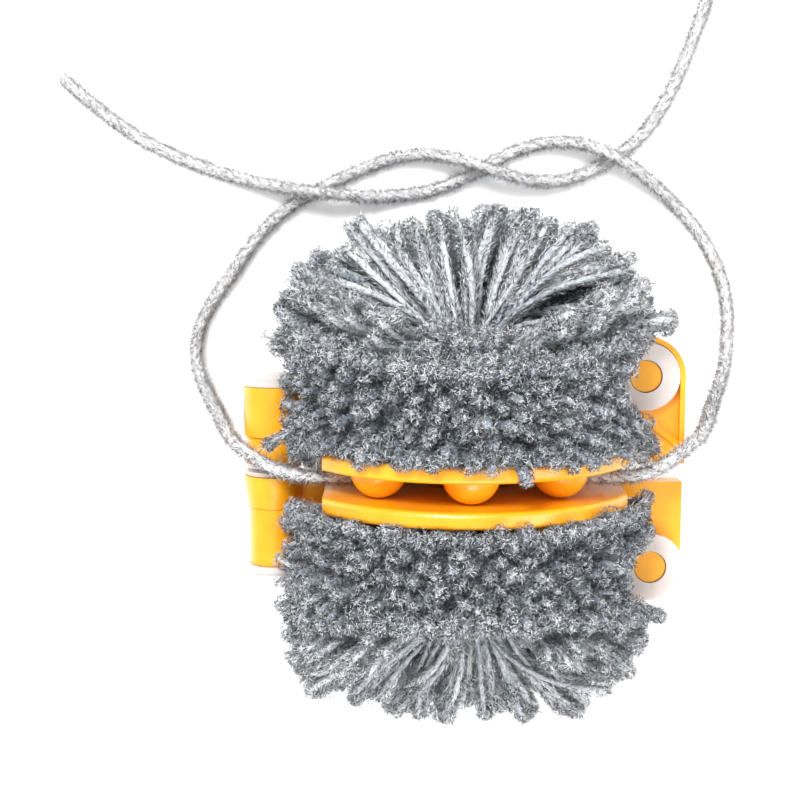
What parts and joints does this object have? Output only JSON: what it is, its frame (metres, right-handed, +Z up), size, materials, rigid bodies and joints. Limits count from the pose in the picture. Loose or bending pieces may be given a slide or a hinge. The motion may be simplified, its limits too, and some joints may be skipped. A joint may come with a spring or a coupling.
{
  "type": "pom pom maker machine",
  "caption": "Round yarn pom-pom maker of two hinged split rings, packed with cut yarn and tied through the groove, with latch bars, spacer domes and folding arms.",
  "frame": {"origin": "on the table, under the middle of the ring", "axes": "+Z up; +Y along the ring's axis from the lower half to the upper half; +X from the hinges to the latches"},
  "size_m": [0.1866, 0.1854, 0.0915],
  "materials": {
    "yellow": "moulded opaque yellow plastic, glossy",
    "milky": "moulded translucent milky plastic, satin gloss",
    "cut_yarn": "cut ends and strands of soft blue-grey heather yarn",
    "tie_yarn": "plied light grey yarn, slightly fuzzy"
  },
  "bodies": {
    "upper_half": {"upper_bar": "milky", "upper_hinge_pin": "milky", "upper_pin_retainer": "milky", "tie_yarn_core": "tie_yarn", "tie_yarn_left": "tie_yarn", "tie_yarn_right": "tie_yarn"},
    "upper_near": {"upper_near_arm": "yellow", "upper_near_yarn": "cut_yarn"},
    "upper_far": {"upper_far_arm": "yellow", "upper_far_yarn": "cut_yarn"},
    "lower_half": {"lower_bar": "milky", "lower_hinge_pin": "milky", "lower_pin_retainer": "milky"},
    "lower_near": {"lower_near_arm": "yellow", "lower_near_yarn": "cut_yarn"},
    "lower_far": {"lower_far_arm": "yellow", "lower_far_yarn": "cut_yarn"}
  },
  "joints": [
    {"name": "halves_apart", "type": "slide", "parent": "upper_half", "child": "lower_half", "axis": [0, -1, 0], "range_m": [0, 0.04]},
    {"name": "upper_near_hinge", "type": "hinge", "parent": "upper_half", "child": "upper_near", "pos_m": [-0.048, 0.014, 0.0455], "axis": [0, -1, 0], "range_deg": [0, 90]},
    {"name": "upper_far_hinge", "type": "hinge", "parent": "upper_half", "child": "upper_far", "pos_m": [-0.048, 0.005, 0.0455], "axis": [0, 1, 0], "range_deg": [0, 45]},
    {"name": "lower_near_hinge", "type": "hinge", "parent": "lower_half", "child": "lower_near", "pos_m": [-0.048, -0.016, 0.0455], "axis": [0, -1, 0], "range_deg": [0, 90]},
    {"name": "lower_far_hinge", "type": "hinge", "parent": "lower_half", "child": "lower_far", "pos_m": [-0.048, -0.005, 0.0455], "axis": [0, 1, 0], "range_deg": [0, 90]}
  ]
}
